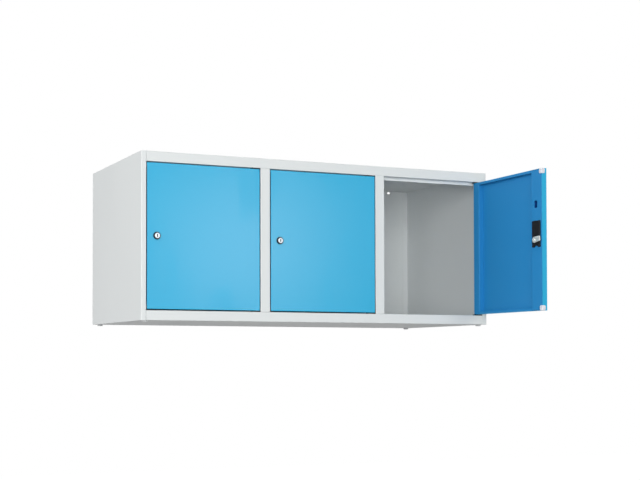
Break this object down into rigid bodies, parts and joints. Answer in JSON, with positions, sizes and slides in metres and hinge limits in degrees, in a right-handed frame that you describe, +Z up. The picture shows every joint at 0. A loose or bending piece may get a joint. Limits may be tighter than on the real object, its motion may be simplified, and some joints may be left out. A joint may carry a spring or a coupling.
{
  "type": "three-compartment locker top box",
  "caption": "Wide low steel locker box with side-by-side compartments behind inset hinged doors, each with a turning cylinder lock.",
  "frame": {"origin": "midway between the four base bolt holes, on the underside of the bottom panel", "axes": "+X to the right seen from the front, +Y to the back, +Z up"},
  "size_m": [1.2, 0.8505, 0.5045],
  "materials": {
    "carcass_paint": "fine smooth light grey powder coat",
    "door_paint": "fine smooth light blue powder coat",
    "zinc_steel": "bright zinc plate",
    "lock_metal": "polished nickel plate",
    "black_plastic": "moulded, fine grain",
    "clear_plastic": "milky, soft",
    "foot_plastic": "moulded grey"
  },
  "bodies": {
    "carcass": {"side_panel_left": "carcass_paint", "side_panel_right": "carcass_paint", "top_panel": "carcass_paint", "bottom_panel": "carcass_paint", "back_panel": "carcass_paint", "mullion_1": "carcass_paint", "mullion_2": "carcass_paint", "partition_1": "carcass_paint", "partition_2": "carcass_paint", "foot_front_left": "foot_plastic", "foot_front_right": "foot_plastic", "foot_rear_left": "foot_plastic", "foot_rear_right": "foot_plastic", "hinge_bush_bottom_1": "black_plastic", "hinge_bush_top_1": "black_plastic", "hinge_bush_bottom_2": "black_plastic", "hinge_bush_top_2": "black_plastic", "hinge_bush_bottom_3": "black_plastic", "hinge_bush_top_3": "black_plastic"},
    "door_1": {"door_1_skin": "door_paint", "door_1_channel": "door_paint", "door_1_hinge_pins": "zinc_steel", "door_1_buffers": "clear_plastic", "lock_1_case": "black_plastic", "lock_1_rosette": "black_plastic", "lock_1_housing": "lock_metal", "lock_1_nut": "zinc_steel"},
    "lock_1": {"lock_1_plug": "lock_metal", "lock_1_cam": "zinc_steel", "lock_1_cam_screw": "zinc_steel"},
    "door_2": {"door_2_skin": "door_paint", "door_2_channel": "door_paint", "door_2_hinge_pins": "zinc_steel", "door_2_buffers": "clear_plastic", "lock_2_case": "black_plastic", "lock_2_rosette": "black_plastic", "lock_2_housing": "lock_metal", "lock_2_nut": "zinc_steel"},
    "lock_2": {"lock_2_plug": "lock_metal", "lock_2_cam": "zinc_steel", "lock_2_cam_screw": "zinc_steel"},
    "door_3": {"door_3_skin": "door_paint", "door_3_channel": "door_paint", "door_3_hinge_pins": "zinc_steel", "door_3_buffers": "clear_plastic", "lock_3_case": "black_plastic", "lock_3_rosette": "black_plastic", "lock_3_housing": "lock_metal", "lock_3_nut": "zinc_steel"},
    "lock_3": {"lock_3_plug": "lock_metal", "lock_3_cam": "zinc_steel", "lock_3_cam_screw": "zinc_steel"}
  },
  "joints": [
    {"name": "door_1_hinge", "type": "hinge", "parent": "carcass", "child": "door_1", "pos_m": [-0.2265, -0.2445, 0.25], "axis": [0, 0, 1], "range_deg": [0, 110]},
    {"name": "lock_1_turn", "type": "hinge", "parent": "door_1", "child": "lock_1", "pos_m": [-0.551, -0.2445, 0.25], "axis": [0, -1, 0], "range_deg": [0, 90]},
    {"name": "door_2_hinge", "type": "hinge", "parent": "carcass", "child": "door_2", "pos_m": [0.1735, -0.2445, 0.25], "axis": [0, 0, 1], "range_deg": [0, 110]},
    {"name": "lock_2_turn", "type": "hinge", "parent": "door_2", "child": "lock_2", "pos_m": [-0.151, -0.2445, 0.25], "axis": [0, -1, 0], "range_deg": [0, 90]},
    {"name": "door_3_hinge", "type": "hinge", "parent": "carcass", "child": "door_3", "pos_m": [0.5735, -0.2445, 0.25], "axis": [0, 0, 1], "range_deg": [-90, 20]},
    {"name": "lock_3_turn", "type": "hinge", "parent": "door_3", "child": "lock_3", "pos_m": [0.5735, -0.569, 0.25], "axis": [1, 0, 0], "range_deg": [-90, 0]}
  ]
}
